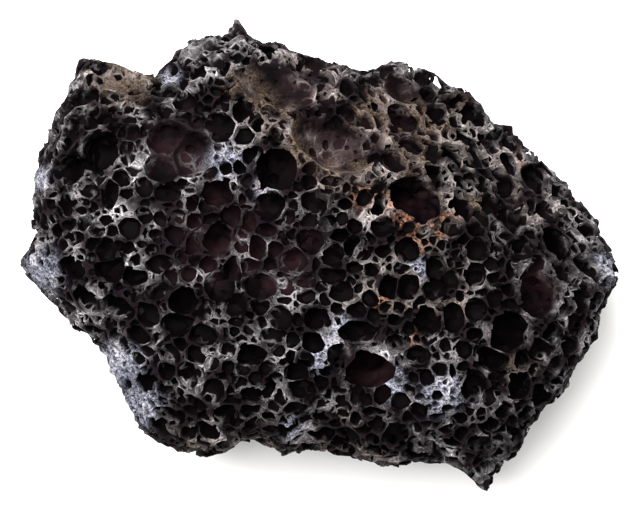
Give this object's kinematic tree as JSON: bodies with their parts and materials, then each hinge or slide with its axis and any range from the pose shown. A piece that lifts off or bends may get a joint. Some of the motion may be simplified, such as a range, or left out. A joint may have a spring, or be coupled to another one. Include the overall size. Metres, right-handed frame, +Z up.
{
  "type": "lava rock",
  "caption": "Block of dark vesicular lava, pitted all over by burst gas bubbles, lying on its broad flat-broken back.",
  "frame": {"origin": "middle of the block's bounding box, on the surface it rests on", "axes": "+Z up, +X along the block's length, towards the end whose flanks are steepest, +Y across it"},
  "size_m": [0.1316, 0.1039, 0.063],
  "materials": {
    "basalt": "matte"
  },
  "bodies": {
    "root": {"lava_rock": "basalt"}
  },
  "joints": []
}
